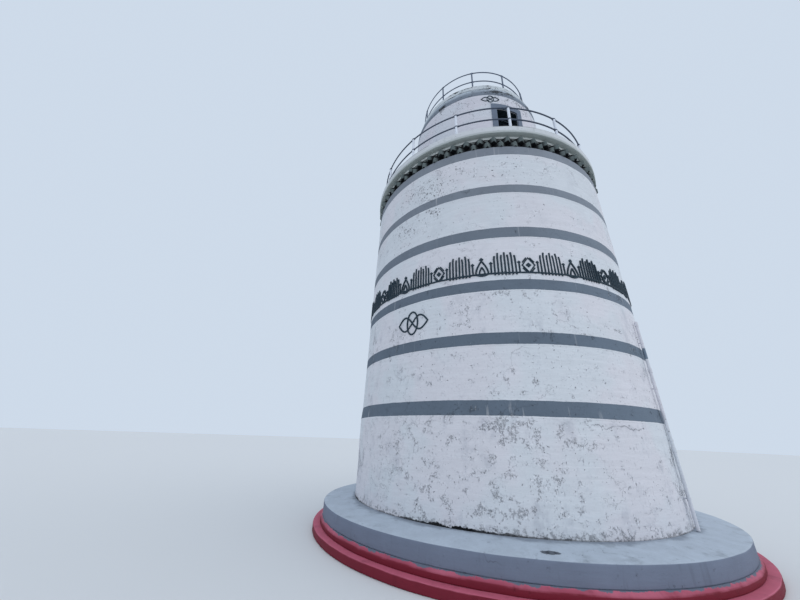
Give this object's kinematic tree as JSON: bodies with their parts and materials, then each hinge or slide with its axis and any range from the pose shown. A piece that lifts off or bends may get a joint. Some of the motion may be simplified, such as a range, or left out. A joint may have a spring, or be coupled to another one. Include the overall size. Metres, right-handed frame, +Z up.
{
  "type": "minaret",
  "caption": "Short round whitewashed minaret: stepped base, tapering banded shaft, dogtooth cornice, railed gallery, drum with a doorway and a railed flat roof.",
  "frame": {"origin": "centre of the base on the ground, on the tower's vertical axis", "axes": "+Z up the tower's axis; the gallery doorway faces -Y; +X is to the right of someone looking at the doorway"},
  "size_m": [7.54, 7.54, 11.5079],
  "materials": {
    "red_paint": "worn red masonry paint",
    "plinth_render": "grey cement render",
    "plaster": "weathered whitewash",
    "dogtooth_stone": "blackened stone",
    "slab_render": "stained render",
    "grey_paint": "grey masonry paint",
    "painted_tube": "painted steel tube",
    "pipe_paint": "painted pipe"
  },
  "bodies": {
    "root": {"lower_step": "red_paint", "upper_step": "red_paint", "plinth": "plinth_render", "shaft_wall_1": "plaster", "shaft_wall_2": "plaster", "shaft_wall_3": "plaster", "shaft_wall_4": "plaster", "shaft_wall_5": "plaster", "shaft_wall_6": "plaster", "shaft_wall_7": "plaster", "shaft_wall_8": "plaster", "dogtooth_lower_1": "dogtooth_stone", "dogtooth_lower_2": "dogtooth_stone", "dogtooth_lower_3": "dogtooth_stone", "dogtooth_lower_4": "dogtooth_stone", "dogtooth_upper_1": "dogtooth_stone", "dogtooth_upper_2": "dogtooth_stone", "dogtooth_upper_3": "dogtooth_stone", "dogtooth_upper_4": "dogtooth_stone", "gallery_floor": "slab_render", "drum_wall_1": "plaster", "drum_wall_2": "plaster", "drum_wall_3": "plaster", "drum_wall_4": "plaster", "drum_wall_5": "plaster", "drum_wall_6": "plaster", "drum_wall_7": "plaster", "drum_lintel": "plaster", "door_surround_right": "grey_paint", "door_surround_left": "grey_paint", "door_surround_head": "grey_paint", "drum_cornice": "grey_paint", "roof_slab": "plaster", "gallery_railing_1": "painted_tube", "gallery_railing_2": "painted_tube", "gallery_railing_3": "painted_tube", "gallery_railing_4": "painted_tube", "gallery_railing_5": "painted_tube", "roof_railing_1": "painted_tube", "roof_railing_2": "painted_tube", "roof_railing_3": "painted_tube", "roof_railing_4": "painted_tube", "wall_pipe": "pipe_paint"}
  },
  "joints": []
}
